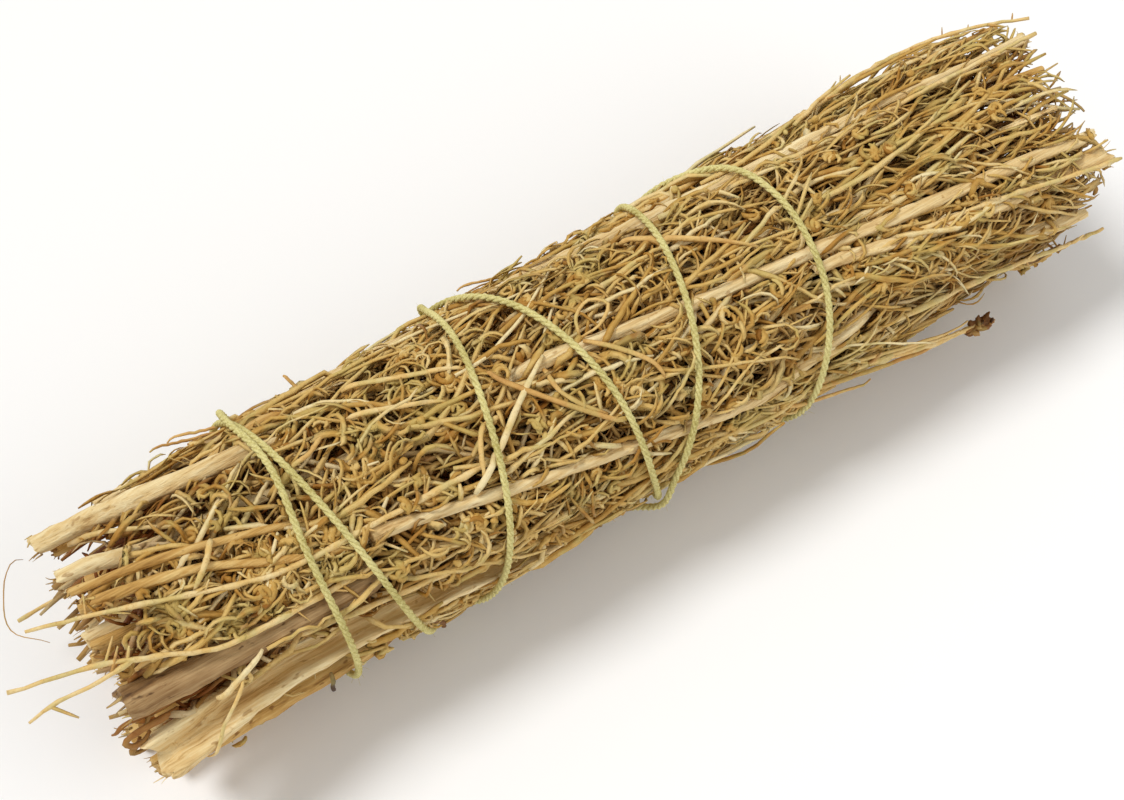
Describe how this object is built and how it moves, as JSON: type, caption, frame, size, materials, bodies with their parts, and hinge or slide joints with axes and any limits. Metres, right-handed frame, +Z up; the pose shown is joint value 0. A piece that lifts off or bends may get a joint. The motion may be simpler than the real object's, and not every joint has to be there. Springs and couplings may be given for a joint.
{
  "type": "bundle of twigs",
  "caption": "Bundle of dried leafy twigs and stalks, wound round with cotton string and lying on its side.",
  "frame": {"origin": "on the surface that the bundle lies on, under the middle of its bounds", "axes": "+X along the bundle from the cut butts to the leafy tips, +Z up, +Y across it, away from the side that is seen"},
  "size_m": [0.1768, 0.0442, 0.0424],
  "materials": {
    "pale_stalk": "peeled, dry and finely ridged",
    "brown_stalk": "dry bark, ridged lengthwise",
    "weathered_stalk": "greyed and frayed",
    "leafy_sprig": "dried, curled leaves and buds",
    "twig": "dry and matt",
    "string": "twisted cotton"
  },
  "bodies": {
    "root": {"back_butt_twig": "twig", "back_pale_stalk": "pale_stalk", "back_sprig_1": "leafy_sprig", "back_sprig_2": "leafy_sprig", "back_tip_twig": "twig", "binding_string": "string", "bud_twig": "twig", "butt_end_twig": "twig", "centre_stalk": "pale_stalk", "crown_sprig": "leafy_sprig", "crown_twig": "twig", "forked_twig": "twig", "front_tip_twig": "twig", "heart_sprig": "leafy_sprig", "inner_sprig_1": "leafy_sprig", "inner_sprig_2": "leafy_sprig", "inner_sprig_3": "leafy_sprig", "inner_sprig_4": "leafy_sprig", "inner_sprig_5": "leafy_sprig", "inner_sprig_6": "leafy_sprig", "long_front_twig": "twig", "long_pale_sprig": "pale_stalk", "low_tip_sprig": "leafy_sprig", "low_tip_twig": "twig", "lower_leafy_sprig": "leafy_sprig", "middle_sprig_1": "leafy_sprig", "middle_sprig_10": "leafy_sprig", "middle_sprig_11": "leafy_sprig", "middle_sprig_12": "leafy_sprig", "middle_sprig_2": "leafy_sprig", "middle_sprig_3": "leafy_sprig", "middle_sprig_4": "leafy_sprig", "middle_sprig_5": "leafy_sprig", "middle_sprig_6": "leafy_sprig", "middle_sprig_7": "leafy_sprig", "middle_sprig_8": "leafy_sprig", "middle_sprig_9": "leafy_sprig", "rest_sprig_1": "leafy_sprig", "rest_sprig_2": "leafy_sprig", "rest_stalk": "brown_stalk", "slim_front_sprig": "leafy_sprig", "split_grooved_stalk": "pale_stalk", "top_edge_stalk": "pale_stalk", "top_spray_twig": "twig", "torn_hollow_stalk": "brown_stalk", "underside_sprig_1": "leafy_sprig", "underside_sprig_2": "leafy_sprig", "underside_stalk": "brown_stalk", "upper_butt_sprig": "brown_stalk", "weathered_butt_sprig": "weathered_stalk", "yellow_stem": "brown_stalk"}
  },
  "joints": []
}
